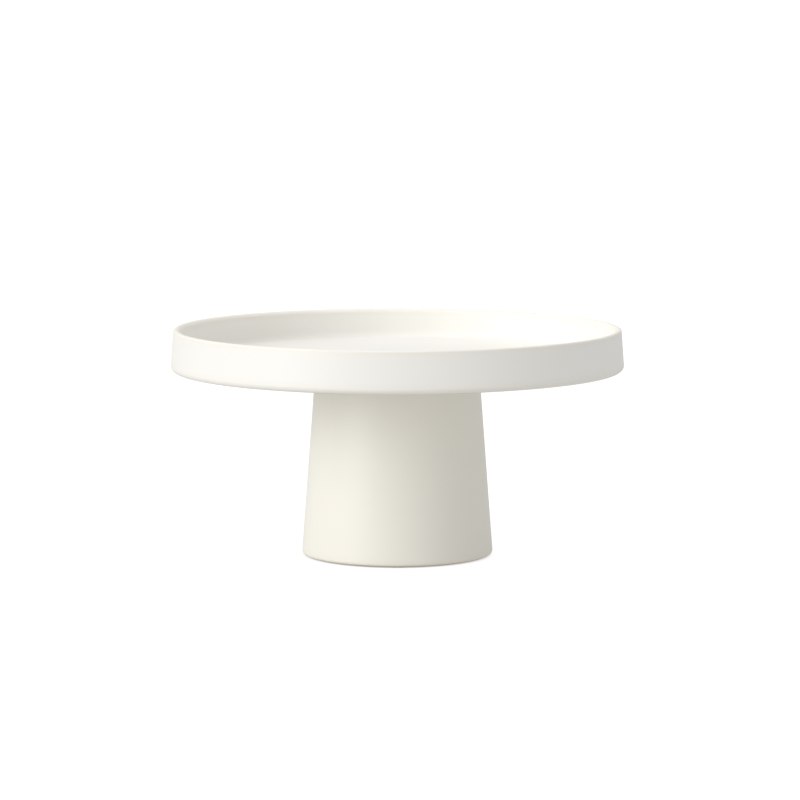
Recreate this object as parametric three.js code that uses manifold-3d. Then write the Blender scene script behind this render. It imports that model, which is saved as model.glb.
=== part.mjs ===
// Pedestal cake stand: a rimmed round plate held on a hollow tapered pedestal by one hand screw
// that is turned from underneath. Millimetres, +Z up. The origin is the point on the table under
// the middle of the stand.
import * as THREE from "three";
import { mergeVertices } from "three/addons/utils/BufferGeometryUtils.js";
import Module from "manifold-3d";

// ---- Driving dimensions ----

// Whole stand
const plateRadius = 152.5; // widest, low on the rim's outer wall: a 12 inch plate
const standHeight = 153.4; // table to lip

// Plate
const dishDepth = 20; // lip down to the flat that the cake stands on
const floorThickness = 6.5;
const skirtDepth = 1.5; // the rim hangs this far below the plate's underside
const rimThickness = 5; // at the lip
const rimDraft = THREE.MathUtils.degToRad(4.3); // the outer wall leans in towards the lip
const dishDraft = THREE.MathUtils.degToRad(2.5); // the inner wall leans out towards the lip
const dishFillet = 4.8;
const lipOuterRounding = 1.4;
const lipInnerRounding = 3.4;
const rimFootRounding = 3.7;
const rimFootWidth = 7.5; // level band under the rim
const bossRadius = 20; // thick pad under the plate's middle, which holds the threaded insert
const bossHeight = 8;

// Pedestal
const pedestalTopRadius = 55.3; // both radii are to the corners before they are rounded
const pedestalBaseRadius = 64.6;
const pedestalWall = 6.5;
const deckThickness = 8;
const shoulderRounding = 2.5;
const footRounding = 2.2;
const footRingWidth = 14; // the wall is thicker at the foot
const footRingHeight = 10;
const footRingInnerRounding = 1.5;
const screwHoleRadius = 7; // wide, so the plate can be centred before the screw is tightened

// Seat gasket, lying between the pedestal's deck and the plate
const gasketThickness = 1;
const gasketWidth = 10;
const gasketInset = 2.1; // in from the edge of the seat's flat

// Clamp screw, M8 coarse, with its thread left plain
const studRadius = 4;
const threadEngagement = 10.5; // length of stud inside the insert
const studSocketDepth = 10; // length of stud moulded into the knob
const knobRadius = 16;
const knobHeight = 14;
const knobLobes = 8;
const knobLobeDepth = 1.6;
const insertRadius = 6;
const steelWasherRadius = 12.5;
const steelWasherThickness = 1.5;
const cushionWasherRadius = 14;
const cushionWasherThickness = 2;

// Foot pads, stuck under the foot ring
const padCount = 4;
const padMargin = 0.25; // foot ring's flat left bare on each side of a pad
const padThickness = 0.8;

// Clearances
const bossClearance = 1.5; // boss to the side and floor of the well that it drops into
const bondGap = 0.3; // adhesive round the insert
const threadClearance = 0.08; // stud to insert, and stud to knob
const washerClearance = 0.4; // stud to washers
const studEndClearance = 0.5; // stud tip to the closed end of its pocket

// ---- Levels and radii that follow from them ----

const lipLevel = standHeight;
const dishFloorLevel = lipLevel - dishDepth;
const undersideLevel = dishFloorLevel - floorThickness;
const rimFootLevel = undersideLevel - skirtDepth;
const bossFootLevel = undersideLevel - bossHeight;
const pocketTopLevel = bossFootLevel + threadEngagement + studEndClearance;

const seatLevel = undersideLevel - gasketThickness;
const wellFloorLevel = bossFootLevel - bossClearance;
const screwDeckLevel = wellFloorLevel - deckThickness; // underside of the deck at the screw
const seatDeckLevel = seatLevel - deckThickness; // underside of the deck below the seat
const footLevel = padThickness;

const washerSeamLevel = screwDeckLevel - cushionWasherThickness;
const knobFaceLevel = washerSeamLevel - steelWasherThickness;
const studTipLevel = bossFootLevel + threadEngagement;

const wellRadius = bossRadius + bossClearance;
const pocketRadius = insertRadius + bondGap;
const gasketOuterRadius = pedestalTopRadius - shoulderRounding - gasketInset;
const footRingInnerRadius = pedestalBaseRadius - footRingWidth;

// ---- Shape helpers ----

const ROUND_LARGE = 64; // facets round the plate
const ROUND_MEDIUM = 48; // facets round the pedestal and the gasket
const ROUND_SMALL = 32; // facets round the screw and its fittings
const ROUND_PAD = 20;
const ARC_STEP = Math.PI / 8;
const ARC_STEP_SMALL = Math.PI / 4; // for roundings under SMALL_ROUNDING
const SMALL_ROUNDING = 2;

// A facetted bore whose flats stay clear of a shaft of the given radius.
function boreRadius(shaftRadius, clearance, facets) {
  return (shaftRadius + clearance) / Math.cos(Math.PI / facets);
}

// An outline through corners given as [radius, level, rounding], each rounded by a tangent arc.
function roundedOutline(corners) {
  const outline = [];
  corners.forEach(([radius, level, rounding = 0], i) => {
    const corner = new THREE.Vector2(radius, level);
    if (rounding === 0) {
      outline.push(corner);
      return;
    }
    const [previous, next] = [corners.at(i - 1), corners[(i + 1) % corners.length]];
    const back = new THREE.Vector2(previous[0], previous[1]).sub(corner).normalize();
    const ahead = new THREE.Vector2(next[0], next[1]).sub(corner).normalize();
    const halfAngle = Math.acos(back.dot(ahead)) / 2;
    const centre = back.clone().add(ahead).setLength(rounding / Math.sin(halfAngle)).add(corner);
    const reach = rounding / Math.tan(halfAngle);
    const from = back.multiplyScalar(reach).add(corner).sub(centre);
    const to = ahead.multiplyScalar(reach).add(corner).sub(centre);
    const sweep = Math.atan2(from.cross(to), from.dot(to));
    const arcStep = rounding < SMALL_ROUNDING ? ARC_STEP_SMALL : ARC_STEP;
    const steps = Math.max(2, Math.ceil(Math.abs(sweep) / arcStep - 1e-6));
    for (let step = 0; step <= steps; step += 1) {
      const spoke = from.clone().rotateAround(new THREE.Vector2(), (sweep * step) / steps);
      outline.push(spoke.add(centre));
    }
  });
  return outline;
}

// A solid of revolution about Z. The outline runs anticlockwise, with radius to the right.
function turned(corners, facets) {
  const outline = roundedOutline(corners);
  const onAxis = outline[0].x === 0 && outline.at(-1).x === 0;
  const closed = onAxis ? outline : [...outline, outline[0].clone()];
  return new THREE.LatheGeometry(closed, facets).rotateX(Math.PI / 2);
}

function turnedRing(innerRadius, outerRadius, bottom, top, facets, rounding = 0) {
  return turned(
    [
      [innerRadius, bottom, rounding],
      [outerRadius, bottom, rounding],
      [outerRadius, top, rounding],
      [innerRadius, top, rounding],
    ],
    facets,
  );
}

function turnedRod(radius, bottom, top, facets, chamfer) {
  return turned(
    [
      [0, bottom],
      [radius, bottom],
      [radius, top - chamfer],
      [radius - chamfer, top],
      [0, top],
    ],
    facets,
  );
}

const wasm = await Module();
wasm.setup();

function toSolid(geometry) {
  const bare = new THREE.BufferGeometry();
  bare.setAttribute("position", geometry.getAttribute("position"));
  bare.setIndex(geometry.getIndex());
  const merged = mergeVertices(bare, 1e-4);
  const vertProperties = new Float32Array(merged.getAttribute("position").array);
  const triVerts = new Uint32Array(merged.getIndex().array);
  return new wasm.Manifold(new wasm.Mesh({ numProp: 3, vertProperties, triVerts }));
}

function cut(geometry, tool) {
  const mesh = toSolid(geometry).subtract(toSolid(tool)).getMesh();
  const result = new THREE.BufferGeometry();
  result.setAttribute("position", new THREE.BufferAttribute(mesh.vertProperties, 3));
  result.setIndex(new THREE.BufferAttribute(mesh.triVerts, 1));
  result.computeVertexNormals();
  return result;
}

// ---- Finishes ----

const glaze = { color: 0xf2efe8, roughness: 0.35, metalness: 0 };
const silicone = { color: 0xdfe1df, roughness: 0.6, metalness: 0 };
const rubber = { color: 0x2c2c2d, roughness: 0.85, metalness: 0 };
const brass = { color: 0xc9a75c, roughness: 0.35, metalness: 1 };
const zincSteel = { color: 0xb4b7ba, roughness: 0.35, metalness: 1 };
const nylon = { color: 0x3a3b3d, roughness: 0.5, metalness: 0 };

function piece(name, geometry, finish) {
  const mesh = new THREE.Mesh(geometry, new THREE.MeshStandardMaterial(finish));
  mesh.name = name;
  return mesh;
}

// ---- Pieces ----

// Rimmed plate in one piece: dish, rim with a rounded lip, and a boss with a blind pocket below.
function cakePlate() {
  const rimHeight = lipLevel - rimFootLevel;
  // The wall's line meets the level under the rim a little outside the widest point, because
  // the rounding between them takes the corner off.
  const cornerBeyondRounding = (1 + Math.sin(rimDraft)) / Math.cos(rimDraft) - 1;
  const rimFootCornerRadius = plateRadius + rimFootRounding * cornerBeyondRounding;
  const lipOuterRadius = rimFootCornerRadius - rimHeight * Math.tan(rimDraft);
  const lipInnerRadius = lipOuterRadius - rimThickness;
  const dishFloorRadius = lipInnerRadius - dishDepth * Math.tan(dishDraft);
  const rimFootInnerRadius = rimFootCornerRadius - rimFootRounding - rimFootWidth;
  return turned(
    [
      [0, pocketTopLevel],
      [pocketRadius, pocketTopLevel],
      [pocketRadius, bossFootLevel, 0.5],
      [bossRadius, bossFootLevel, 1.5],
      [bossRadius, undersideLevel, 2],
      [rimFootInnerRadius - skirtDepth, undersideLevel],
      [rimFootInnerRadius, rimFootLevel],
      [rimFootCornerRadius, rimFootLevel, rimFootRounding],
      [lipOuterRadius, lipLevel, lipOuterRounding],
      [lipInnerRadius, lipLevel, lipInnerRounding],
      [dishFloorRadius, dishFloorLevel, dishFillet],
      [0, dishFloorLevel],
    ],
    ROUND_LARGE,
  );
}

// Hollow tapered pedestal, open below, whose deck has a seat for the plate, a well for the boss
// and a clearance hole for the screw.
function pedestal() {
  const taper = (pedestalBaseRadius - pedestalTopRadius) / (seatLevel - footLevel);
  const wallInnerRadius = (level) =>
    pedestalBaseRadius - taper * (level - footLevel) - pedestalWall;
  const wellOuterRadius = wellRadius + deckThickness;
  const footRingTop = footLevel + footRingHeight;
  const footRingSlope = wallInnerRadius(footRingTop) - footRingInnerRadius;
  return turned(
    [
      [footRingInnerRadius, footLevel, footRingInnerRounding],
      [pedestalBaseRadius, footLevel, footRounding],
      [pedestalTopRadius, seatLevel, shoulderRounding],
      [wellRadius, seatLevel, 1],
      [wellRadius, wellFloorLevel, 1],
      [screwHoleRadius, wellFloorLevel, 1],
      [screwHoleRadius, screwDeckLevel, 0.5],
      [wellOuterRadius, screwDeckLevel, 3],
      [wellOuterRadius, seatDeckLevel, 3],
      [wallInnerRadius(seatDeckLevel), seatDeckLevel, 6],
      [wallInnerRadius(footRingTop), footRingTop],
      [footRingInnerRadius, footRingTop - footRingSlope],
    ],
    ROUND_MEDIUM,
  );
}

// Flat silicone ring that cushions the plate on the pedestal's seat.
function seatGasket() {
  return turnedRing(
    gasketOuterRadius - gasketWidth,
    gasketOuterRadius,
    seatLevel,
    undersideLevel,
    ROUND_MEDIUM,
  );
}

// Brass insert bonded into the boss.
function plateInsert() {
  const bore = boreRadius(studRadius, threadClearance, ROUND_SMALL);
  return turnedRing(bore, insertRadius, bossFootLevel, studTipLevel, ROUND_SMALL);
}

// Soft washer against the deck, then a wide steel washer that the knob turns on.
function cushionWasher() {
  const bore = boreRadius(studRadius, washerClearance, ROUND_SMALL);
  return turnedRing(bore, cushionWasherRadius, washerSeamLevel, screwDeckLevel, ROUND_SMALL);
}

function steelWasher() {
  const bore = boreRadius(studRadius, washerClearance, ROUND_SMALL);
  return turnedRing(bore, steelWasherRadius, knobFaceLevel, washerSeamLevel, ROUND_SMALL);
}

// Plain shank of the screw, from the bottom of the knob's socket to its tip in the insert.
function screwStud() {
  return turnedRod(studRadius, knobFaceLevel - studSocketDepth, studTipLevel, ROUND_SMALL, 0.8);
}

// Lobed hand knob moulded round the foot of the stud.
function screwKnob() {
  const bevel = 1.2;
  const pointsPerLobe = 8;
  const outline = [];
  for (let i = 0; i < knobLobes * pointsPerLobe; i += 1) {
    const angle = (2 * Math.PI * i) / (knobLobes * pointsPerLobe);
    const dip = (knobLobeDepth * (1 - Math.cos(knobLobes * angle))) / 2;
    const radius = knobRadius - bevel - dip;
    outline.push(new THREE.Vector2(radius * Math.cos(angle), radius * Math.sin(angle)));
  }
  const body = new THREE.ExtrudeGeometry(new THREE.Shape(outline), {
    depth: knobHeight - 2 * bevel,
    bevelThickness: bevel,
    bevelSize: bevel,
    bevelSegments: 2,
  });
  body.translate(0, 0, knobFaceLevel - knobHeight + bevel);
  const socket = turnedRod(
    boreRadius(studRadius, threadClearance, ROUND_SMALL),
    knobFaceLevel - studSocketDepth,
    knobFaceLevel + 1,
    ROUND_SMALL,
    0,
  );
  return cut(body, socket);
}

// Round pads, evenly spaced along the middle of the foot ring's flat.
function footPads() {
  const flatOuterRadius = pedestalBaseRadius - footRounding;
  const flatInnerRadius = footRingInnerRadius + footRingInnerRounding;
  const padCircleRadius = (flatOuterRadius + flatInnerRadius) / 2;
  const padRadius = (flatOuterRadius - flatInnerRadius) / 2 - padMargin;
  return Array.from({ length: padCount }, (_, i) => {
    const angle = (2 * Math.PI * i) / padCount;
    const disc = new THREE.CylinderGeometry(padRadius, padRadius, padThickness, ROUND_PAD);
    disc.rotateX(Math.PI / 2);
    const pad = piece(`foot_pad_${i + 1}`, disc, silicone);
    pad.position.set(
      padCircleRadius * Math.cos(angle),
      padCircleRadius * Math.sin(angle),
      padThickness / 2,
    );
    return pad;
  });
}

// ---- Assembly ----

const cakeStand = new THREE.Group();
cakeStand.add(
  piece("cake_plate", cakePlate(), glaze),
  piece("pedestal", pedestal(), glaze),
  piece("seat_gasket", seatGasket(), silicone),
  piece("plate_insert", plateInsert(), brass),
  piece("cushion_washer", cushionWasher(), rubber),
  piece("steel_washer", steelWasher(), zincSteel),
  piece("screw_stud", screwStud(), zincSteel),
  piece("screw_knob", screwKnob(), nylon),
  ...footPads(),
);

export default cakeStand;
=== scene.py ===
"""Pedestal cake stand: fine surfaces and finishes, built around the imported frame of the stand."""
import math
from collections import namedtuple

import bpy
from bpy.props import FloatProperty, FloatVectorProperty, IntProperty, PointerProperty
from bpy.types import Operator, Panel, PropertyGroup
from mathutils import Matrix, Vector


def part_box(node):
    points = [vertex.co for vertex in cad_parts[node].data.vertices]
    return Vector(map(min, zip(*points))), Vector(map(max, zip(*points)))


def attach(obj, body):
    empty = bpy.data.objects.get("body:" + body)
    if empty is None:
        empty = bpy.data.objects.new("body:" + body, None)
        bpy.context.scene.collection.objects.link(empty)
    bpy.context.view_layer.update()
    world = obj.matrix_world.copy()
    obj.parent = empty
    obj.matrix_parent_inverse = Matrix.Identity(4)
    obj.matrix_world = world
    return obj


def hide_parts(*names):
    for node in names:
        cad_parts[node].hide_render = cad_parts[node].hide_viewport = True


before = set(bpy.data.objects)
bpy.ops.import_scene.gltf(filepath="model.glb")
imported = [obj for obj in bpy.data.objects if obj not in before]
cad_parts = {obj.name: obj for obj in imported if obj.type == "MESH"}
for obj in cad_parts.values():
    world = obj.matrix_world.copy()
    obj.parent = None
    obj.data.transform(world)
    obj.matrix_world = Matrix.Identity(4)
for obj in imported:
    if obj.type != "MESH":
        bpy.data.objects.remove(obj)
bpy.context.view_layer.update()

bl_info = {
    "name": "Pedestal Cake Stand",
    "version": (1, 0, 0),
    "blender": (4, 5, 0),
    "location": "View3D > Sidebar > Cake Stand",
    "description": "Builds a glazed stoneware cake stand, its clamp screw and a plain studio",
    "category": "Object",
}

MM = 0.001

# ---- Levels and radii that the frame already fixes ----

LIP_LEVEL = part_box("cake_plate")[1].z
PLATE_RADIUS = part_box("cake_plate")[1].x
BOSS_FOOT_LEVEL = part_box("cake_plate")[0].z
SEAT_LEVEL, UNDERSIDE_LEVEL = (corner.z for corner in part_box("seat_gasket"))
FOOT_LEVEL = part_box("pedestal")[0].z
SCREW_DECK_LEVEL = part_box("cushion_washer")[1].z
WASHER_SEAM_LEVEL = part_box("steel_washer")[1].z
KNOB_FACE_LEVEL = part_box("steel_washer")[0].z
KNOB_FOOT_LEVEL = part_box("screw_knob")[0].z
STUD_FOOT_LEVEL, STUD_TIP_LEVEL = (corner.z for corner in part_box("screw_stud"))
GASKET_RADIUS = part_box("seat_gasket")[1].x
INSERT_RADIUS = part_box("plate_insert")[1].x
STUD_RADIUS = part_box("screw_stud")[1].x
STEEL_WASHER_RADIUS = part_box("steel_washer")[1].x
CUSHION_WASHER_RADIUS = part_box("cushion_washer")[1].x
KNOB_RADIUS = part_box("screw_knob")[1].x
FOOT_PADS = sorted(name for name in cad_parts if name.startswith("foot_pad_"))


def linear(hex_colour):
    """An sRGB hex colour as linear red, green, blue and an alpha of 1."""
    channels = [int(hex_colour[i : i + 2], 16) / 255 for i in (1, 3, 5)]
    curve = [c / 12.92 if c <= 0.04045 else ((c + 0.055) / 1.055) ** 2.4 for c in channels]
    return (*curve, 1.0)


# ---- Settings ----


def length(name, description, millimetres):
    return FloatProperty(
        name=name, description=description, default=millimetres * MM, min=0, unit="LENGTH"
    )


def angle(name, description, degrees):
    return FloatProperty(
        name=name, description=description, default=math.radians(degrees), subtype="ANGLE"
    )


def colour(name, description, hex_colour):
    return FloatVectorProperty(
        name=name,
        description=description,
        default=linear(hex_colour),
        min=0,
        max=1,
        size=4,
        subtype="COLOR",
    )


def number(name, description, value):
    return FloatProperty(name=name, description=description, default=value, min=0)


class PlateSettings(PropertyGroup):
    dish_depth: length("Dish depth", "Lip down to the level floor", 20)
    dish_fillet: length("Dish fillet", "Rounding where the floor meets the rim", 4.8)
    dish_draft: angle("Dish draft", "How far the inner wall leans out", 2.5)
    rim_thickness: length("Rim thickness", "Thickness of the rim at the lip", 5)
    rim_draft: angle("Rim draft", "How far the outer wall leans in", 4.3)
    lip_outer_rounding: length("Lip outer rounding", "Outside of the lip", 1.4)
    lip_inner_rounding: length("Lip inner rounding", "Inside of the lip", 3.4)
    foot_rounding: length("Rim foot rounding", "Outer edge under the rim", 3.7)
    foot_width: length("Rim foot width", "Level band under the rim", 7.5)
    skirt_depth: length("Skirt depth", "How far the rim hangs below the underside", 1.5)
    boss_radius: length("Boss radius", "Thick pad that holds the insert", 20)
    bond_gap: length("Bond gap", "Adhesive round the insert", 0.3)
    pocket_headroom: length("Pocket headroom", "Gap above the insert", 0.5)
    warp: length("Kiln warp", "How far firing has pulled the rim out of true", 0.22)


class PedestalSettings(PropertyGroup):
    base_radius: length("Base radius", "Corner of the foot before rounding", 64.6)
    top_radius: length("Top radius", "Corner of the shoulder before rounding", 55.3)
    wall: length("Wall", "Thickness of the tapered wall", 6.5)
    deck: length("Deck", "Thickness of the deck", 8)
    shoulder_rounding: length("Shoulder rounding", "Edge of the seat", 2.5)
    foot_rounding: length("Foot rounding", "Outer edge of the foot", 2.2)
    foot_ring_width: length("Foot ring width", "Thickened foot", 14)
    foot_ring_height: length("Foot ring height", "Thickened foot", 10)
    boss_clearance: length("Boss clearance", "Gap round and under the boss", 1.5)
    screw_hole_radius: length("Screw hole radius", "Clearance hole in the deck", 7)


class FittingSettings(PropertyGroup):
    gasket_width: length("Gasket width", "Across the ring", 10)
    thread_pitch: length("Thread pitch", "M8 coarse", 1.25)
    thread_depth: length("Thread depth", "Crest to root", 0.6)
    thread_clearance: length("Thread clearance", "Crest of the stud to the insert", 0.1)
    washer_clearance: length("Washer clearance", "Stud to the washers' bores", 0.42)
    knob_lobes: IntProperty(name="Knob lobes", description="Grips round the knob", default=8)
    knob_lobe_depth: length("Lobe depth", "Crest to hollow of the knob's grips", 1.6)
    knob_recess_radius: length("Knob recess radius", "Shallow recess under the knob", 8.5)
    knob_recess_depth: length("Knob recess depth", "Shallow recess under the knob", 1.1)


class FinishSettings(PropertyGroup):
    plate_glaze: colour("Plate glaze", "Satin white glaze of the plate", "#F4F2ED")
    # The pedestal's white is warmer than the plate's: painted shade, for the warm shade under the
    # plate.
    pedestal_glaze: colour("Pedestal glaze", "Satin white glaze of the pedestal", "#F3F0E6")
    thin_glaze: colour("Thin glaze", "Where the glaze runs thin on an edge", "#F0EBDD")
    clay: colour("Clay", "Bare fired clay", "#E2D5BE")
    silicone: colour("Silicone", "Gasket and pads", "#E9E9E5")
    rubber: colour("Rubber", "Cushion washer", "#2B2B2C")
    brass: colour("Brass", "Threaded insert", "#D9B86A")
    zinc: colour("Zinc plate", "Stud and steel washer", "#C9CDD1")
    nylon: colour("Nylon", "Knob", "#3C3D3F")
    epoxy: colour("Epoxy", "Adhesive round the insert", "#D8CFB4")


class StudioSettings(PropertyGroup):
    camera_distance: length("Camera distance", "Along the floor to the stand's axis", 2472)
    camera_height: length("Camera height", "Above the floor", 390.4)
    camera_offset: length("Camera offset", "To the right of the stand's axis", 1.8)
    camera_tilt: angle("Camera tilt", "Down from level", 6.593)
    camera_lens: number("Lens", "Focal length in millimetres on a 36 mm sensor", 165.9)
    floor_radius: length("Floor radius", "Radius of the plain floor", 120000)
    key_strength: number("Key strength", "Softbox to the left and front", 0.99)
    low_strength: number("Low strength", "Softbox in front of the key and lower", 0.572)
    top_strength: number("Top strength", "Large softbox overhead", 0.572)
    back_strength: number("Back strength", "Large softbox high behind the stand", 0.342)
    room_strength: number("Room strength", "Even light of the white room", 0.595)
    floor_glow: number("Floor glow", "Light that the lit floor gives the stand", 0.384)
    floor_whiteness: number("Floor whiteness", "Brightness of the lit floor to the eye", 0.84)


class CakeStandSettings(PropertyGroup):
    plate: PointerProperty(type=PlateSettings)
    pedestal: PointerProperty(type=PedestalSettings)
    fittings: PointerProperty(type=FittingSettings)
    finishes: PointerProperty(type=FinishSettings)
    studio: PointerProperty(type=StudioSettings)


# ---- Turned shapes ----

# One point of a profile: where it is, how sharply the surface bends there (above 0 on an outward
# edge, below 0 in a hollow), and how much bare clay shows.
Point = namedtuple("Point", "radius level bend bare", defaults=(0.0, 0.0))

ARC_STEP = math.radians(9)
GLAZED_STEP = 4 * MM  # longest step along the profile of a glazed piece
FITTING_STEP = 1 * MM  # longest step along the profile of a fitting
THREAD_STEPS = 10  # steps along a profile for each turn of its thread
BEND_REACH = 0.9 * MM  # how far an edge shows in the glaze beside it
SHARP_ROUNDING = 2.5 * MM  # roundings up to this thin the glaze fully
ON_SURFACE = 0.01 * MM  # points this close to a surface lie on it


def rounded_corner(before, corner, after, rounding):
    """Points of the arc that rounds a corner, with the bend that it gives the surface."""
    back = (before[0] - corner[0], before[1] - corner[1])
    ahead = (after[0] - corner[0], after[1] - corner[1])
    back_length, ahead_length = math.hypot(*back), math.hypot(*ahead)
    back = (back[0] / back_length, back[1] / back_length)
    ahead = (ahead[0] / ahead_length, ahead[1] / ahead_length)
    half = math.acos(max(-1, min(1, back[0] * ahead[0] + back[1] * ahead[1]))) / 2
    middle = (back[0] + ahead[0], back[1] + ahead[1])
    scale = rounding / math.sin(half) / math.hypot(*middle)
    centre = (corner[0] + middle[0] * scale, corner[1] + middle[1] * scale)
    reach = rounding / math.tan(half)
    start = (corner[0] + back[0] * reach - centre[0], corner[1] + back[1] * reach - centre[1])
    end = (corner[0] + ahead[0] * reach - centre[0], corner[1] + ahead[1] * reach - centre[1])
    cross = start[0] * end[1] - start[1] * end[0]
    sweep = math.atan2(cross, start[0] * end[0] + start[1] * end[1])
    steps = max(3, math.ceil(abs(sweep) / ARC_STEP))
    bend = math.copysign(min(1, SHARP_ROUNDING / rounding), sweep)
    for step in range(steps + 1):
        turn = sweep * step / steps
        across = start[0] * math.cos(turn) - start[1] * math.sin(turn)
        up = start[0] * math.sin(turn) + start[1] * math.cos(turn)
        yield Point(centre[0] + across, centre[1] + up, bend)


def turned_outline(corners, longest_step):
    """Profile through corners (radius, level, rounding), anticlockwise, with no step too long."""
    rough = []
    for i, corner in enumerate(corners):
        rounding = corner[2] if len(corner) > 2 else 0
        if rounding:
            after = corners[(i + 1) % len(corners)]
            rough += rounded_corner(corners[i - 1], corner, after, rounding)
        else:
            rough.append(Point(corner[0], corner[1]))
    closes_on_axis = rough[0].radius == 0 and rough[-1].radius == 0
    ends = rough[1:] if closes_on_axis else rough[1:] + rough[:1]
    outline = []
    for here, there in zip(rough, ends):
        gap = math.hypot(there.radius - here.radius, there.level - here.level)
        pieces = max(1, math.ceil(gap / longest_step))
        outline.append(here)
        for k in range(1, pieces):
            share = k / pieces
            outline.append(
                Point(
                    here.radius + (there.radius - here.radius) * share,
                    here.level + (there.level - here.level) * share,
                )
            )
    if closes_on_axis:
        outline.append(rough[-1])
    return outline


def spread_bends(outline):
    """The outline with each edge and hollow fading into the surface beside it."""
    spread = []
    for point in outline:
        bend = point.bend
        for other in outline:
            away = math.hypot(other.radius - point.radius, other.level - point.level)
            if other.bend and away < 4 * BEND_REACH:
                faded = other.bend * math.exp(-((away / BEND_REACH) ** 2))
                bend = faded if abs(faded) > abs(bend) else bend
        spread.append(point._replace(bend=bend))
    return spread


def bare_where(outline, is_bare):
    """The outline with bare clay on the points that is_bare(radius, level) picks."""
    return [p._replace(bare=float(is_bare(p.radius, p.level))) for p in outline]


def revolve(name, outline, segments, shape=None, centre=(0, 0)):
    """A closed turned mesh. shape(radius, level, angle) may move a point to (radius, level)."""
    vertices, rings, bends, bares = [], [], [], []
    for point in outline:
        count = 1 if point.radius == 0 else segments
        rings.append(range(len(vertices), len(vertices) + count))
        for i in range(count):
            turn = 2 * math.pi * i / segments
            radius, level = point.radius, point.level
            if shape:
                radius, level = shape(radius, level, turn)
            vertices.append(
                (centre[0] + radius * math.cos(turn), centre[1] + radius * math.sin(turn), level)
            )
            bends.append(point.bend)
            bares.append(point.bare)
    faces = []
    following = rings[1:] if outline[0].radius == 0 else rings[1:] + rings[:1]
    for low, high in zip(rings, following):
        for i in range(segments):
            j = (i + 1) % segments
            corners = [low[i % len(low)], low[j % len(low)], high[j % len(high)], high[i % len(high)]]
            faces.append(list(dict.fromkeys(corners)))
    mesh = bpy.data.meshes.new(name)
    mesh.from_pydata(vertices, [], faces)
    mesh.attributes.new("glaze_bend", "FLOAT", "POINT").data.foreach_set("value", bends)
    mesh.attributes.new("bare_clay", "FLOAT", "POINT").data.foreach_set("value", bares)
    mesh.shade_smooth()
    piece = bpy.data.objects.new(name, mesh)
    bpy.context.scene.collection.objects.link(piece)
    return piece


def sawtooth(phase):
    """A V-shaped wave, 0 at whole numbers and 1 half way between."""
    return 1 - abs(1 - 2 * (phase % 1))


def finish_piece(piece, material, body, slot, *nodes):
    """Gives a piece its material and its body, and hides the frame's nodes that it stands for."""
    piece.data.materials.append(material)
    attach(piece, body)
    if nodes:
        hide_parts(*nodes)


# ---- Materials ----

# The colour sockets of a Mix node, whose names its number sockets share.
MIX_A, MIX_B, MIX_COLOUR = 6, 7, 2
WAVE_RADIANS = 20  # how far the Wave texture's phase goes for each unit, at a scale of 1


def per_millimetre(size):
    """Texture scale, for object coordinates in metres, of a pattern of a size in millimetres."""
    return 1 / (size * MM)


def add_node(tree, kind, settings=(), inputs=()):
    """Adds a node, sets its settings, and fills its inputs with values or links."""
    node = tree.nodes.new(kind)
    for name, value in dict(settings).items():
        setattr(node, name, value)
    for socket, value in dict(inputs).items():
        if isinstance(value, bpy.types.NodeSocket):
            tree.links.new(value, node.inputs[socket])
        else:
            node.inputs[socket].default_value = value
    return node


def new_material(name):
    """An empty material, with the object's own coordinates ready to use."""
    material = bpy.data.materials.new(name)
    material.use_nodes = True
    tree = material.node_tree
    tree.nodes.clear()
    place = add_node(tree, "ShaderNodeTexCoord").outputs["Object"]
    return material, tree, place


def finish_material(tree, inputs):
    """Ends a material in one Principled shader."""
    shader = add_node(tree, "ShaderNodeBsdfPrincipled", inputs=inputs)
    add_node(tree, "ShaderNodeOutputMaterial", inputs={"Surface": shader.outputs["BSDF"]})


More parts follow.
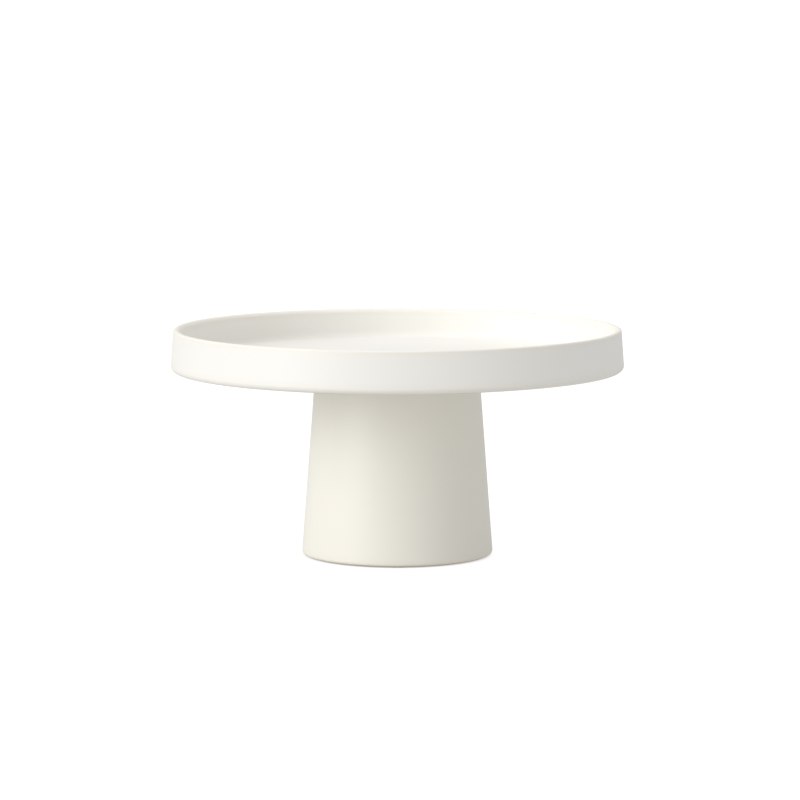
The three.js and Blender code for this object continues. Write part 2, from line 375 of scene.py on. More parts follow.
def satin_glazed_stoneware(piece_name, glaze_colour, finishes):
    """Cast stoneware under a satin tin-white glaze: softly bright, a little warmer where the glaze
    thins over an edge, with dry buff clay where it was wiped off. The plate and the pedestal each
    have their own white; the pedestal's is warmer, painted shade for the warm shade under the plate."""
    material, tree, place = new_material(f"satin_glazed_stoneware_{piece_name}")
    bend = add_node(tree, "ShaderNodeAttribute", {"attribute_name": "glaze_bend"}).outputs["Fac"]
    bare = add_node(tree, "ShaderNodeAttribute", {"attribute_name": "bare_clay"}).outputs["Fac"]

    # Glaze lies in faint clouds some 70 mm across.
    cloud = add_node(
        tree,
        "ShaderNodeTexNoise",
        inputs={"Vector": place, "Scale": per_millimetre(70), "Detail": 3.0, "Roughness": 0.5},
    ).outputs["Fac"]
    thinness = add_node(
        tree,
        "ShaderNodeMapRange",
        inputs={"Value": bend, "From Min": 0.1, "From Max": 1.0, "To Max": 0.4},
    ).outputs["Result"]
    clouded = add_node(
        tree,
        "ShaderNodeMath",
        {"operation": "MULTIPLY_ADD", "use_clamp": True},
        {0: cloud, 1: 0.16, 2: thinness},
    ).outputs["Value"]
    glaze = add_node(
        tree,
        "ShaderNodeMix",
        {"data_type": "RGBA"},
        {"Factor": clouded, MIX_A: glaze_colour, MIX_B: finishes.thin_glaze},
    ).outputs[MIX_COLOUR]

    # The wiped edge of the glaze wanders by under a millimetre.
    wander = add_node(
        tree,
        "ShaderNodeTexNoise",
        inputs={"Vector": place, "Scale": per_millimetre(4), "Detail": 2.0},
    ).outputs["Fac"]
    wiped = add_node(
        tree, "ShaderNodeMath", {"operation": "MULTIPLY_ADD"}, {0: wander, 1: 0.5, 2: bare}
    ).outputs["Value"]
    dry = add_node(
        tree,
        "ShaderNodeMapRange",
        {"interpolation_type": "SMOOTHSTEP"},
        {"Value": wiped, "From Min": 0.68, "From Max": 0.8},
    ).outputs["Result"]

    # Bare clay has a sandy grain of about 0.2 mm, drawn 0.6 mm across so that it shows.
    grain = add_node(
        tree,
        "ShaderNodeTexNoise",
        inputs={"Vector": place, "Scale": per_millimetre(0.6), "Detail": 3.0, "Roughness": 0.7},
    ).outputs["Fac"]
    sandy = add_node(
        tree,
        "ShaderNodeMix",
        {"data_type": "RGBA", "blend_type": "MULTIPLY"},
        {"Factor": grain, MIX_A: finishes.clay, MIX_B: linear("#EDE6D8")},
    ).outputs[MIX_COLOUR]
    surface_colour = add_node(
        tree,
        "ShaderNodeMix",
        {"data_type": "RGBA"},
        {"Factor": dry, MIX_A: glaze, MIX_B: sandy},
    ).outputs[MIX_COLOUR]

    # Satin glaze is a little glossier in some places than others, and clay is dull.
    sheen = add_node(
        tree,
        "ShaderNodeMapRange",
        inputs={"Value": cloud, "From Min": 0.3, "From Max": 0.7, "To Min": 0.36, "To Max": 0.46},
    ).outputs["Result"]
    roughness = add_node(
        tree,
        "ShaderNodeMix",
        inputs={"Factor": dry, "A": sheen, "B": 0.86},
    ).outputs["Result"]

    # Glaze has an orange-peel ripple some 3 mm across, and a few pinholes.
    ripple = add_node(
        tree,
        "ShaderNodeTexNoise",
        inputs={"Vector": place, "Scale": per_millimetre(3.2), "Detail": 1.0},
    ).outputs["Fac"]
    pinholes = add_node(
        tree,
        "ShaderNodeTexVoronoi",
        {"feature": "F1"},
        {"Vector": place, "Scale": per_millimetre(26), "Randomness": 1.0},
    ).outputs["Distance"]
    pits = add_node(
        tree,
        "ShaderNodeMapRange",
        {"interpolation_type": "SMOOTHSTEP"},
        {"Value": pinholes, "From Min": 0.006, "From Max": 0.016},
    ).outputs["Result"]
    glazed_height = add_node(
        tree, "ShaderNodeMath", {"operation": "MULTIPLY_ADD"}, {0: ripple, 1: 0.35, 2: pits}
    ).outputs["Value"]
    height = add_node(
        tree, "ShaderNodeMix", inputs={"Factor": dry, "A": glazed_height, "B": grain}
    ).outputs["Result"]
    bump = add_node(
        tree,
        "ShaderNodeBump",
        inputs={"Strength": 1.0, "Distance": 0.06 * MM, "Height": height},
    ).outputs["Normal"]
    finish_material(
        tree,
        {"Base Color": surface_colour, "Roughness": roughness, "IOR": 1.5, "Normal": bump},
    )
    return material


def moulded_silicone(finishes):
    """Compression-moulded translucent silicone: milky, soft sheen, faint dust on it."""
    material, tree, place = new_material("moulded_silicone")
    haze = add_node(
        tree,
        "ShaderNodeTexNoise",
        inputs={"Vector": place, "Scale": per_millimetre(2.5), "Detail": 4.0, "Roughness": 0.6},
    ).outputs["Fac"]
    tint = add_node(
        tree,
        "ShaderNodeMix",
        {"data_type": "RGBA"},
        {"Factor": haze, MIX_A: finishes.silicone, MIX_B: linear("#D9D9D4")},
    ).outputs[MIX_COLOUR]
    bump = add_node(
        tree, "ShaderNodeBump", inputs={"Strength": 1.0, "Distance": 0.02 * MM, "Height": haze}
    ).outputs["Normal"]
    finish_material(
        tree,
        {
            "Base Color": tint,
            "Roughness": 0.48,
            "IOR": 1.41,
            "Subsurface Weight": 0.3,
            "Subsurface Radius": (1.0, 1.0, 1.0),
            "Subsurface Scale": 1.2 * MM,
            "Normal": bump,
        },
    )
    return material


def cut_epdm_rubber(finishes):
    """Black EPDM rubber, cut from sheet: near black, dull, with a fine tooth, which is about
    0.1 mm across and is drawn at 0.5 mm so that it shows."""
    material, tree, place = new_material("cut_epdm_rubber")
    tooth = add_node(
        tree,
        "ShaderNodeTexNoise",
        inputs={"Vector": place, "Scale": per_millimetre(0.5), "Detail": 3.0, "Roughness": 0.65},
    ).outputs["Fac"]
    tint = add_node(
        tree,
        "ShaderNodeMix",
        {"data_type": "RGBA"},
        {"Factor": tooth, MIX_A: finishes.rubber, MIX_B: linear("#3A3A3B")},
    ).outputs[MIX_COLOUR]
    bump = add_node(
        tree, "ShaderNodeBump", inputs={"Strength": 1.0, "Distance": 0.05 * MM, "Height": tooth}
    ).outputs["Normal"]
    finish_material(tree, {"Base Color": tint, "Roughness": 0.82, "IOR": 1.52, "Normal": bump})
    return material


def turned_brass(finishes):
    """Free-cutting brass, turned: yellow metal with rings left by the tool, which are about
    0.2 mm apart and are drawn 1.57 mm apart so that they show."""
    material, tree, place = new_material("turned_brass")
    radian_width = 0.25  # millimetres, so that a whole ring is 1.57 mm
    rings = add_node(
        tree,
        "ShaderNodeTexWave",
        {"wave_type": "RINGS", "rings_direction": "Z"},
        {
            "Vector": place,
            "Scale": per_millimetre(radian_width) / WAVE_RADIANS,
            "Distortion": 1.5,
            "Detail": 2.0,
        },
    ).outputs["Fac"]
    tarnish = add_node(
        tree,
        "ShaderNodeTexNoise",
        inputs={"Vector": place, "Scale": per_millimetre(3), "Detail": 4.0},
    ).outputs["Fac"]
    tint = add_node(
        tree,
        "ShaderNodeMix",
        {"data_type": "RGBA"},
        {"Factor": tarnish, MIX_A: finishes.brass, MIX_B: linear("#B08A45")},
    ).outputs[MIX_COLOUR]
    roughness = add_node(
        tree,
        "ShaderNodeMapRange",
        inputs={"Value": tarnish, "From Min": 0.3, "From Max": 0.7, "To Min": 0.24, "To Max": 0.4},
    ).outputs["Result"]
    bump = add_node(
        tree, "ShaderNodeBump", inputs={"Strength": 0.6, "Distance": 0.01 * MM, "Height": rings}
    ).outputs["Normal"]
    finish_material(
        tree, {"Base Color": tint, "Metallic": 1.0, "Roughness": roughness, "Normal": bump}
    )
    return material


def zinc_plated_steel(finishes):
    """Steel with bright zinc plate: pale grey metal, faintly blue, with small handling marks."""
    material, tree, place = new_material("zinc_plated_steel")
    bloom = add_node(
        tree,
        "ShaderNodeTexNoise",
        inputs={"Vector": place, "Scale": per_millimetre(5), "Detail": 5.0, "Roughness": 0.6},
    ).outputs["Fac"]
    tint = add_node(
        tree,
        "ShaderNodeMix",
        {"data_type": "RGBA"},
        {"Factor": bloom, MIX_A: finishes.zinc, MIX_B: linear("#AEB6BC")},
    ).outputs[MIX_COLOUR]
    roughness = add_node(
        tree,
        "ShaderNodeMapRange",
        inputs={"Value": bloom, "From Min": 0.3, "From Max": 0.7, "To Min": 0.26, "To Max": 0.42},
    ).outputs["Result"]
    marks = add_node(
        tree,
        "ShaderNodeTexNoise",
        inputs={"Vector": place, "Scale": per_millimetre(0.7), "Detail": 4.0, "Roughness": 0.7},
    ).outputs["Fac"]
    bump = add_node(
        tree, "ShaderNodeBump", inputs={"Strength": 0.7, "Distance": 0.012 * MM, "Height": marks}
    ).outputs["Normal"]
    finish_material(
        tree, {"Base Color": tint, "Metallic": 1.0, "Roughness": roughness, "Normal": bump}
    )
    return material


def moulded_nylon(finishes):
    """Glass-filled nylon, injection moulded in a spark-eroded tool: dark grey, with an even
    texture, which is about 0.1 mm across and is drawn at 0.45 mm so that it shows."""
    material, tree, place = new_material("moulded_nylon")
    texture = add_node(
        tree,
        "ShaderNodeTexNoise",
        inputs={"Vector": place, "Scale": per_millimetre(0.45), "Detail": 2.0, "Roughness": 0.6},
    ).outputs["Fac"]
    flow = add_node(
        tree,
        "ShaderNodeTexNoise",
        inputs={"Vector": place, "Scale": per_millimetre(9), "Detail": 3.0, "Distortion": 1.2},
    ).outputs["Fac"]
    tint = add_node(
        tree,
        "ShaderNodeMix",
        {"data_type": "RGBA"},
        {"Factor": flow, MIX_A: finishes.nylon, MIX_B: linear("#47484A")},
    ).outputs[MIX_COLOUR]
    roughness = add_node(
        tree,
        "ShaderNodeMapRange",
        inputs={"Value": flow, "From Min": 0.3, "From Max": 0.7, "To Min": 0.46, "To Max": 0.58},
    ).outputs["Result"]
    bump = add_node(
        tree, "ShaderNodeBump", inputs={"Strength": 1.0, "Distance": 0.04 * MM, "Height": texture}
    ).outputs["Normal"]
    finish_material(
        tree, {"Base Color": tint, "Roughness": roughness, "IOR": 1.53, "Normal": bump}
    )
    return material


def cured_epoxy(finishes):
    """Two-part epoxy, cured: amber cream, glossy, with small ripples."""
    material, tree, place = new_material("cured_epoxy")
    ripple = add_node(
        tree,
        "ShaderNodeTexNoise",
        inputs={"Vector": place, "Scale": per_millimetre(1.2), "Detail": 2.0},
    ).outputs["Fac"]
    tint = add_node(
        tree,
        "ShaderNodeMix",
        {"data_type": "RGBA"},
        {"Factor": ripple, MIX_A: finishes.epoxy, MIX_B: linear("#C7B98F")},
    ).outputs[MIX_COLOUR]
    bump = add_node(
        tree, "ShaderNodeBump", inputs={"Strength": 1.0, "Distance": 0.05 * MM, "Height": ripple}
    ).outputs["Normal"]
    finish_material(tree, {"Base Color": tint, "Roughness": 0.22, "IOR": 1.55, "Normal": bump})
    return material


def shared_material(maker, finishes):
    """The material that a maker function is named for, made when it is first asked for."""
    return bpy.data.materials.get(maker.__name__) or maker(finishes)


# ---- Pieces ----

PLATE_SEGMENTS = 288
PEDESTAL_SEGMENTS = 216
FITTING_SEGMENTS = 96

# How firing pulls the rim out of true, sideways and up. Each wave is how many times it goes up
# and down round the rim, where it starts in radians, and its height beside the first one's.
SIDEWAYS_WAVES = ((2, 0.6, 1.0), (3, 2.1, 0.35))
UPWARD_WAVES = ((2, 2.4, 1.0), (5, 0.0, 0.3))
WAVE_SHARE = 0.6  # of the warp, so that the waves together keep about within it


def waves_round(turn, waves):
    """The sum of waves that go round the rim, at one angle."""
    return sum(height * math.sin(count * turn + start) for count, start, height in waves)


class CAKESTAND_OT_plate(Operator):
    """Build the rimmed plate: dish, lip, bare foot band under the rim, and boss with its pocket"""

    bl_idname = "cake_stand.build_plate"
    bl_label = "Plate"

    def execute(self, context):
        settings = context.scene.cake_stand
        plate = settings.plate
        rim_foot_level = UNDERSIDE_LEVEL - plate.skirt_depth
        dish_floor_level = LIP_LEVEL - plate.dish_depth
        corner_share = (1 + math.sin(plate.rim_draft)) / math.cos(plate.rim_draft) - 1
        rim_foot_radius = PLATE_RADIUS + plate.foot_rounding * corner_share
        lip_radius = rim_foot_radius - (LIP_LEVEL - rim_foot_level) * math.tan(plate.rim_draft)
        lip_inner_radius = lip_radius - plate.rim_thickness
        dish_radius = lip_inner_radius - plate.dish_depth * math.tan(plate.dish_draft)
        foot_inner_radius = rim_foot_radius - plate.foot_rounding - plate.foot_width
        pocket_radius = INSERT_RADIUS + plate.bond_gap
        pocket_top_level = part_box("plate_insert")[1].z + plate.pocket_headroom
        pocket_rounding, mouth_rounding = 0.4 * MM, 0.5 * MM
        boss_rounding, boss_fillet = 1.5 * MM, 2 * MM
        skirt_fillet, skirt_rounding = 1.2 * MM, 0.6 * MM
        outline = turned_outline(
            [
                (0, pocket_top_level),
                (pocket_radius, pocket_top_level, pocket_rounding),
                (pocket_radius, BOSS_FOOT_LEVEL, mouth_rounding),
                (plate.boss_radius, BOSS_FOOT_LEVEL, boss_rounding),
                (plate.boss_radius, UNDERSIDE_LEVEL, boss_fillet),
                (foot_inner_radius - plate.skirt_depth, UNDERSIDE_LEVEL, skirt_fillet),
                (foot_inner_radius, rim_foot_level, skirt_rounding),
                (rim_foot_radius, rim_foot_level, plate.foot_rounding),
                (lip_radius, LIP_LEVEL, plate.lip_outer_rounding),
                (lip_inner_radius, LIP_LEVEL, plate.lip_inner_rounding),
                (dish_radius, dish_floor_level, plate.dish_fillet),
                (0, dish_floor_level),
            ],
            longest_step=GLAZED_STEP,
        )

        # The boss's foot, the pocket and the rim's foot were wiped clear of glaze, a little way
        # round their edges.
        boss_wipe, rim_wipe_in, rim_wipe_up = 0.3 * MM, 0.2 * MM, 0.35 * MM
        above_pocket_level = dish_floor_level - 1 * MM

        def is_bare(radius, level):
            in_pocket = radius <= pocket_radius + mouth_rounding and level < above_pocket_level
            under_boss = (
                radius < plate.boss_radius - boss_wipe and level < BOSS_FOOT_LEVEL + boss_wipe
            )
            under_rim = (
                radius > foot_inner_radius - rim_wipe_in and level < rim_foot_level + rim_wipe_up
            )
            return in_pocket or under_boss or under_rim

        def warped(radius, level, turn):
            reach = (radius / PLATE_RADIUS) ** 3 * plate.warp * WAVE_SHARE
            sideways = reach * waves_round(turn, SIDEWAYS_WAVES)
            upward = reach * waves_round(turn, UPWARD_WAVES)
            return radius + sideways, level + upward

        piece = revolve(
            "glazed_plate", spread_bends(bare_where(outline, is_bare)), PLATE_SEGMENTS, warped
        )
        finishes = settings.finishes
        glaze = satin_glazed_stoneware("plate", finishes.plate_glaze, finishes)
        finish_piece(piece, glaze, "plate", "glaze", "cake_plate")
        return {"FINISHED"}


class CAKESTAND_OT_pedestal(Operator):
    """Build the hollow tapered pedestal: deck, well, screw hole and wiped foot ring"""

    bl_idname = "cake_stand.build_pedestal"
    bl_label = "Pedestal"

    def execute(self, context):
        settings = context.scene.cake_stand
        pedestal = settings.pedestal
        taper = (pedestal.base_radius - pedestal.top_radius) / (SEAT_LEVEL - FOOT_LEVEL)

        def wall_inner_radius(level):
            return pedestal.base_radius - taper * (level - FOOT_LEVEL) - pedestal.wall

        well_radius = settings.plate.boss_radius + pedestal.boss_clearance
        well_floor_level = BOSS_FOOT_LEVEL - pedestal.boss_clearance
        well_outer_radius = well_radius + pedestal.deck
        seat_deck_level = SEAT_LEVEL - pedestal.deck
        foot_inner_radius = pedestal.base_radius - pedestal.foot_ring_width
        foot_ring_top = FOOT_LEVEL + pedestal.foot_ring_height
        foot_ring_slope = wall_inner_radius(foot_ring_top) - foot_inner_radius
        foot_inner_rounding = 1.5 * MM
        well_rounding, screw_hole_rounding = 1 * MM, 0.5 * MM
        deck_rounding, ceiling_fillet = 3 * MM, 6 * MM
        ring_fillet, ring_rounding = 3 * MM, 2 * MM
        outline = turned_outline(
            [
                (foot_inner_radius, FOOT_LEVEL, foot_inner_rounding),
                (pedestal.base_radius, FOOT_LEVEL, pedestal.foot_rounding),
                (pedestal.top_radius, SEAT_LEVEL, pedestal.shoulder_rounding),
                (well_radius, SEAT_LEVEL, well_rounding),
                (well_radius, well_floor_level, well_rounding),
                (pedestal.screw_hole_radius, well_floor_level, well_rounding),
                (pedestal.screw_hole_radius, SCREW_DECK_LEVEL, screw_hole_rounding),
                (well_outer_radius, SCREW_DECK_LEVEL, deck_rounding),
                (well_outer_radius, seat_deck_level, deck_rounding),
                (wall_inner_radius(seat_deck_level), seat_deck_level, ceiling_fillet),
                (wall_inner_radius(foot_ring_top), foot_ring_top, ring_fillet),
                (foot_inner_radius, foot_ring_top - foot_ring_slope, ring_rounding),
            ],
            longest_step=GLAZED_STEP,
        )
        wiped_level = FOOT_LEVEL + 0.6 * MM

        def is_bare(radius, level):
            return level < wiped_level

        piece = revolve(
            "glazed_pedestal", spread_bends(bare_where(outline, is_bare)), PEDESTAL_SEGMENTS
        )
        finishes = settings.finishes
        # The pedestal's glaze colour carries painted shade: it is warmer than the plate's.
        glaze = satin_glazed_stoneware("pedestal", finishes.pedestal_glaze, finishes)
        finish_piece(piece, glaze, "base", "glaze", "pedestal")
        return {"FINISHED"}


class CAKESTAND_OT_gasket(Operator):
    """Build the silicone ring between the pedestal's seat and the plate"""

    bl_idname = "cake_stand.build_gasket"
    bl_label = "Seat gasket"

    def execute(self, context):
        settings = context.scene.cake_stand
        inner_radius = GASKET_RADIUS - settings.fittings.gasket_width
        rounding = 0.35 * MM
        outline = turned_outline(
            [
                (inner_radius, SEAT_LEVEL, rounding),
                (GASKET_RADIUS, SEAT_LEVEL, rounding),
                (GASKET_RADIUS, UNDERSIDE_LEVEL, rounding),
                (inner_radius, UNDERSIDE_LEVEL, rounding),
            ],
            longest_step=2 * MM,
        )
        piece = revolve("silicone_gasket", outline, PEDESTAL_SEGMENTS)
        silicone = shared_material(moulded_silicone, settings.finishes)
        finish_piece(piece, silicone, "base", "silicone", "seat_gasket")
        return {"FINISHED"}


class CAKESTAND_OT_foot_pads(Operator):
    """Build the small silicone pads under the foot ring"""

    bl_idname = "cake_stand.build_foot_pads"
    bl_label = "Foot pads"

    def execute(self, context):
        silicone = shared_material(moulded_silicone, context.scene.cake_stand.finishes)
        face_rounding, bonded_rounding = 0.45 * MM, 0.12 * MM
        for node in FOOT_PADS:
            low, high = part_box(node)
            centre = (low + high) / 2
            radius = high.y - centre.y
            outline = turned_outline(
                [
                    (0, low.z),
                    (radius, low.z, face_rounding),
                    (radius, high.z, bonded_rounding),
                    (0, high.z),
                ],
                longest_step=0.6 * MM,
            )
            number = node.removeprefix("foot_pad_")
            piece = revolve(
                f"silicone_pad_{number}", outline, FITTING_SEGMENTS // 2, centre=centre.xy
            )
            finish_piece(piece, silicone, "base", "silicone", node)
        return {"FINISHED"}


class CAKESTAND_OT_insert(Operator):
    """Build the knurled brass insert in the boss, with its thread and the adhesive round it"""

    bl_idname = "cake_stand.build_insert"
    bl_label = "Threaded insert"

    def execute(self, context):
        settings = context.scene.cake_stand
        fittings = settings.fittings
        low, high = (corner.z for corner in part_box("plate_insert"))
        bore_radius = STUD_RADIUS + fittings.thread_clearance
        bore_rounding, outer_rounding = 0.35 * MM, 0.3 * MM
        outline = turned_outline(
            [
                (bore_radius, low, bore_rounding),
                (INSERT_RADIUS, low, outer_rounding),
                (INSERT_RADIUS, high, outer_rounding),
                (bore_radius, high, bore_rounding),
            ],
            longest_step=fittings.thread_pitch / THREAD_STEPS,
        )
        knurl_teeth, knurl_depth, plain_end = 36, 0.2 * MM, 1.2 * MM
        thread_fade = 0.8 * MM

        def threaded(radius, level, turn):
            from_end = min(level - low, high - level)
            if radius < bore_radius + ON_SURFACE:
                fade = min(1, max(0, from_end / thread_fade))
                phase = level / fittings.thread_pitch - turn / (2 * math.pi)
                return radius + fittings.thread_depth * fade * sawtooth(phase), level
            if radius > INSERT_RADIUS - ON_SURFACE and from_end > plain_end:
                return radius - knurl_depth * sawtooth(knurl_teeth * turn / (2 * math.pi)), level
            return radius, level

        piece = revolve("brass_insert", outline, 4 * knurl_teeth, threaded)
        brass = shared_material(turned_brass, settings.finishes)
        finish_piece(piece, brass, "plate", "insert_brass", "plate_insert")

        skin = 0.02 * MM  # left clear on each side, so that the bead's mesh touches nothing
        inner_radius = INSERT_RADIUS + skin
        outer_radius = INSERT_RADIUS + settings.plate.bond_gap - skin
        bead_foot_level = BOSS_FOOT_LEVEL + 0.55 * MM
        bead_top_level = high - 0.2 * MM
        bead_rounding = 0.08 * MM
        bead = turned_outline(
            [
                (inner_radius, bead_foot_level, bead_rounding),
                (outer_radius, bead_foot_level, bead_rounding),
                (outer_radius, bead_top_level, bead_rounding),
                (inner_radius, bead_top_level, bead_rounding),
            ],
            longest_step=FITTING_STEP,
        )
        adhesive = revolve("insert_adhesive", bead, FITTING_SEGMENTS)
        epoxy = shared_material(cured_epoxy, settings.finishes)
        finish_piece(adhesive, epoxy, "plate", "silicone")
        return {"FINISHED"}


class CAKESTAND_OT_washers(Operator):
    """Build the rubber cushion washer and the wide steel washer"""

    bl_idname = "cake_stand.build_washers"
    bl_label = "Washers"

    def execute(self, context):
        settings = context.scene.cake_stand
        bore_radius = STUD_RADIUS + settings.fittings.washer_clearance
        bore_rounding, rubber_rounding = 0.25 * MM, 0.4 * MM
        cushion = turned_outline(
            [
                (bore_radius, WASHER_SEAM_LEVEL, bore_rounding),
                (CUSHION_WASHER_RADIUS, WASHER_SEAM_LEVEL, rubber_rounding),
                (CUSHION_WASHER_RADIUS, SCREW_DECK_LEVEL, rubber_rounding),
                (bore_radius, SCREW_DECK_LEVEL, bore_rounding),
            ],
            longest_step=FITTING_STEP,
        )
        piece = revolve("rubber_washer", cushion, FITTING_SEGMENTS)
        rubber = shared_material(cut_epdm_rubber, settings.finishes)
        finish_piece(piece, rubber, "washers", "washer_rubber", "cushion_washer")

        # Blanking rolls the edges on one face of a pressed washer and leaves the other sharp.
        rolled_bore, rolled_rim, sharp_edge = 0.35 * MM, 0.45 * MM, 0.1 * MM
        pressed = turned_outline(
            [
                (bore_radius, KNOB_FACE_LEVEL, rolled_bore),
                (STEEL_WASHER_RADIUS, KNOB_FACE_LEVEL, rolled_rim),
                (STEEL_WASHER_RADIUS, WASHER_SEAM_LEVEL, sharp_edge),
                (bore_radius, WASHER_SEAM_LEVEL, sharp_edge),
            ],
            longest_step=FITTING_STEP,
        )
        piece = revolve("pressed_steel_washer", pressed, FITTING_SEGMENTS)
        zinc = shared_material(zinc_plated_steel, settings.finishes)
        finish_piece(piece, zinc, "washers", "zinc_steel", "steel_washer")
        return {"FINISHED"}


class CAKESTAND_OT_clamp_screw(Operator):
    """Build the clamp screw: threaded stud and lobed hand knob"""

    bl_idname = "cake_stand.build_clamp_screw"
    bl_label = "Clamp screw"

    def execute(self, context):
        settings = context.scene.cake_stand
        fittings = settings.fittings
        foot_rounding, tip_chamfer, tip_rounding = 0.3 * MM, 0.8 * MM, 0.2 * MM
        stud = turned_outline(
            [
                (0, STUD_FOOT_LEVEL),
                (STUD_RADIUS, STUD_FOOT_LEVEL, foot_rounding),
                (STUD_RADIUS, STUD_TIP_LEVEL - tip_chamfer, tip_rounding),
                (STUD_RADIUS - tip_chamfer, STUD_TIP_LEVEL, tip_rounding),
                (0, STUD_TIP_LEVEL),
            ],
            longest_step=fittings.thread_pitch / THREAD_STEPS,
        )
        thread_fade, tip_fade = 0.8 * MM, 0.9 * MM

        def threaded(radius, level, turn):
            above_knob = level - KNOB_FACE_LEVEL
            if above_knob < 0 or radius < STUD_RADIUS - tip_chamfer - ON_SURFACE:
                return radius, level
            below_tip = max(0, STUD_TIP_LEVEL - level)
            fade = min(1, above_knob / thread_fade, below_tip / tip_fade)
            phase = level / fittings.thread_pitch - turn / (2 * math.pi)
            root = STUD_RADIUS - fittings.thread_depth * fade * sawtooth(phase)
            return min(radius, root), level

        piece = revolve("threaded_stud", stud, FITTING_SEGMENTS, threaded)
        zinc = shared_material(zinc_plated_steel, settings.finishes)
        finish_piece(piece, zinc, "clamp_screw", "zinc_steel", "screw_stud")

        socket_clearance = 0.1 * MM
        socket_radius = STUD_RADIUS + socket_clearance
        socket_level = STUD_FOOT_LEVEL - socket_clearance
        socket_rounding = 0.3 * MM
        recess_level = KNOB_FOOT_LEVEL + fittings.knob_recess_depth
        recess_slope, recess_fillet, recess_rounding = 0.5 * MM, 0.9 * MM, 0.7 * MM
        grip_foot_rounding, grip_face_rounding = 2.6 * MM, 1.8 * MM
        seam_level = (KNOB_FOOT_LEVEL + KNOB_FACE_LEVEL) / 2
        seam_half_width, seam_height, seam_rounding = 0.18 * MM, 0.09 * MM, 0.05 * MM
        knob = turned_outline(
            [
                (0, recess_level),
                (fittings.knob_recess_radius, recess_level, recess_fillet),
                (fittings.knob_recess_radius + recess_slope, KNOB_FOOT_LEVEL, recess_rounding),
                (KNOB_RADIUS, KNOB_FOOT_LEVEL, grip_foot_rounding),
                (KNOB_RADIUS, seam_level - seam_half_width),
                (KNOB_RADIUS + seam_height, seam_level, seam_rounding),
                (KNOB_RADIUS, seam_level + seam_half_width),
                (KNOB_RADIUS, KNOB_FACE_LEVEL, grip_face_rounding),
                (socket_radius, KNOB_FACE_LEVEL, socket_rounding),
                (socket_radius, socket_level),
                (0, socket_level),
            ],
            longest_step=FITTING_STEP,
        )
        round_share, lobed_share = 0.62, 0.38  # of the knob's radius, from the axis outwards

        def lobed(radius, level, turn):
            hollow = (1 - math.cos(fittings.knob_lobes * turn)) / 2
            outward = max(0, (radius / KNOB_RADIUS - round_share) / lobed_share)
            return radius - fittings.knob_lobe_depth * hollow * outward, level

        piece = revolve("lobed_knob", knob, 2 * FITTING_SEGMENTS, lobed)
        nylon = shared_material(moulded_nylon, settings.finishes)
        finish_piece(piece, nylon, "clamp_screw", "knob_nylon", "screw_knob")
        return {"FINISHED"}


# ---- Studio ----

FLOOR_SIDES = 64
SENSOR_WIDTH = 36  # millimetres, as Blender's cameras count it
WHITE = (1.0, 1.0, 1.0, 1.0)


def opal_acrylic_floor(glow, whiteness, foot_radius):
    """Opal acrylic sheet lit from below, as on a light table. It passes most light that falls on
    it, so shadows on it are faint, and the eye sees it brighter than the light that it gives. Its
    glow fades out in a thin ring under the foot, a painted shadow where the stand meets it."""
    material, tree, place = new_material("opal_acrylic_floor")
    stipple = add_node(
        tree,
        "ShaderNodeTexNoise",
        inputs={"Vector": place, "Scale": per_millimetre(4), "Detail": 2.0},
    ).outputs["Fac"]
    bump = add_node(
        tree, "ShaderNodeBump", inputs={"Strength": 0.3, "Distance": 0.02 * MM, "Height": stipple}
    ).outputs["Normal"]
    seen = add_node(tree, "ShaderNodeLightPath").outputs["Is Camera Ray"]
    level = add_node(
        tree, "ShaderNodeMix", inputs={"Factor": seen, "A": glow, "B": whiteness}
    ).outputs["Result"]

    # Painted shadow: the floor's glow fades out in a ring under the foot's edge, so a thin dark line
    # shows where the stand meets it.
    painted_shadow_width = 9 * MM
    from_axis = add_node(
        tree, "ShaderNodeVectorMath", {"operation": "LENGTH"}, {0: place}
    ).outputs["Value"]
    outside_painted_shadow = add_node(
        tree,
        "ShaderNodeMapRange",
        inputs={
            "Value": from_axis,
            "From Min": foot_radius - painted_shadow_width,
            "From Max": foot_radius,
        },
    ).outputs["Result"]
    light = add_node(
        tree, "ShaderNodeMath", {"operation": "MULTIPLY"}, {0: level, 1: outside_painted_shadow}
    ).outputs["Value"]
    finish_material(
        tree,
        {
            "Base Color": linear("#909090"),
            "Roughness": 0.95,
            "Specular IOR Level": 0.1,
            "Emission Color": WHITE,
            "Emission Strength": light,
            "Normal": bump,
        },
    )
    return material


def soft_light(name, strength, spread, azimuth, elevation):
    """A very large distant softbox. Angles are in degrees: spread is how wide it looks from the
    stand, azimuth how far it is round from the camera (left is negative), elevation how high."""
    lamp = bpy.data.lights.new(name, "SUN")
    lamp.energy = strength
    lamp.angle = math.radians(spread)
    light = bpy.data.objects.new(name, lamp)
    light.rotation_euler = (math.radians(90 - elevation), 0, math.radians(azimuth))
    bpy.context.scene.collection.objects.link(light)


def even_room(strength):
    """A plain room that lights the stand evenly and looks white."""
    world = bpy.data.worlds.new("white_room")
    world.use_nodes = True
    tree = world.node_tree
    tree.nodes.clear()
    seen = add_node(tree, "ShaderNodeLightPath").outputs["Is Camera Ray"]
    level = add_node(
        tree, "ShaderNodeMix", inputs={"Factor": seen, "A": strength, "B": 1.0}
    ).outputs["Result"]
    glow = add_node(
        tree,
        "ShaderNodeBackground",
        inputs={"Color": WHITE, "Strength": level},
    )
    add_node(tree, "ShaderNodeOutputWorld", inputs={"Surface": glow.outputs["Background"]})
    bpy.context.scene.world = world


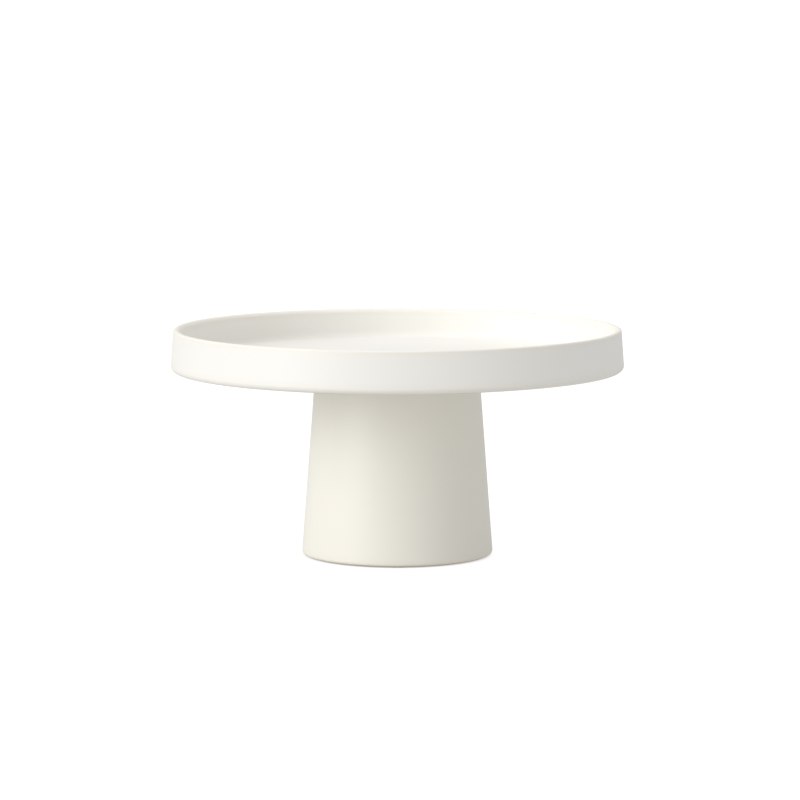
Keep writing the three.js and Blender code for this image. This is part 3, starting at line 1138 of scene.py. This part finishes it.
class CAKESTAND_OT_studio(Operator):
    """Build the plain floor, the soft lights and the camera"""

    bl_idname = "cake_stand.build_studio"
    bl_label = "Studio"

    def execute(self, context):
        studio = context.scene.cake_stand.studio
        turns = [2 * math.pi * i / FLOOR_SIDES for i in range(FLOOR_SIDES)]
        rim = [
            (studio.floor_radius * math.cos(turn), studio.floor_radius * math.sin(turn), 0)
            for turn in turns
        ]
        mesh = bpy.data.meshes.new("floor")
        mesh.from_pydata(rim, [], [list(range(FLOOR_SIDES))])
        foot_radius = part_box("pedestal")[1].x
        acrylic = opal_acrylic_floor(studio.floor_glow, studio.floor_whiteness, foot_radius)
        mesh.materials.append(acrylic)
        floor = bpy.data.objects.new("floor", mesh)
        context.scene.collection.objects.link(floor)

        soft_light("key_softbox", studio.key_strength, spread=40, azimuth=-63, elevation=25)
        soft_light("low_softbox", studio.low_strength, spread=40, azimuth=-50, elevation=12)
        soft_light("top_softbox", studio.top_strength, spread=60, azimuth=0, elevation=80)
        soft_light("back_softbox", studio.back_strength, spread=60, azimuth=180, elevation=50)
        even_room(studio.room_strength)
        context.scene.view_settings.view_transform = "Standard"

        lens = bpy.data.cameras.new("camera")
        lens.lens = studio.camera_lens
        lens.sensor_width = SENSOR_WIDTH
        lens.clip_end = 4 * studio.floor_radius
        camera = bpy.data.objects.new("camera", lens)
        camera.location = (studio.camera_offset, -studio.camera_distance, studio.camera_height)
        camera.rotation_euler = (math.radians(90) - studio.camera_tilt, 0, 0)
        context.scene.collection.objects.link(camera)
        context.scene.camera = camera
        return {"FINISHED"}


# ---- Panel and registration ----


class CAKESTAND_PT_panel(Panel):
    """Sizes, finishes and the buttons that build each piece"""

    bl_idname = "CAKESTAND_PT_panel"
    bl_label = "Cake Stand"
    bl_space_type = "VIEW_3D"
    bl_region_type = "UI"
    bl_category = "Cake Stand"

    def draw(self, context):
        settings = context.scene.cake_stand
        for group in (
            settings.plate,
            settings.pedestal,
            settings.fittings,
            settings.finishes,
            settings.studio,
        ):
            box = self.layout.box()
            for name in group.bl_rna.properties.keys():
                if name not in {"rna_type", "name"}:
                    box.prop(group, name)
        for operator in BUILD_ORDER:
            self.layout.operator(operator.bl_idname)


SETTINGS = (
    PlateSettings,
    PedestalSettings,
    FittingSettings,
    FinishSettings,
    StudioSettings,
    CakeStandSettings,
)
BUILD_ORDER = (
    CAKESTAND_OT_studio,
    CAKESTAND_OT_plate,
    CAKESTAND_OT_pedestal,
    CAKESTAND_OT_gasket,
    CAKESTAND_OT_foot_pads,
    CAKESTAND_OT_insert,
    CAKESTAND_OT_washers,
    CAKESTAND_OT_clamp_screw,
)
CLASSES = (*SETTINGS, *BUILD_ORDER, CAKESTAND_PT_panel)


def register():
    for cls in CLASSES:
        bpy.utils.register_class(cls)
    bpy.types.Scene.cake_stand = PointerProperty(type=CakeStandSettings)


def unregister():
    del bpy.types.Scene.cake_stand
    for cls in reversed(CLASSES):
        bpy.utils.unregister_class(cls)


def main():
    register()
    for operator in BUILD_ORDER:
        group, name = operator.bl_idname.split(".")
        getattr(getattr(bpy.ops, group), name)()


if __name__ == "__main__":
    main()
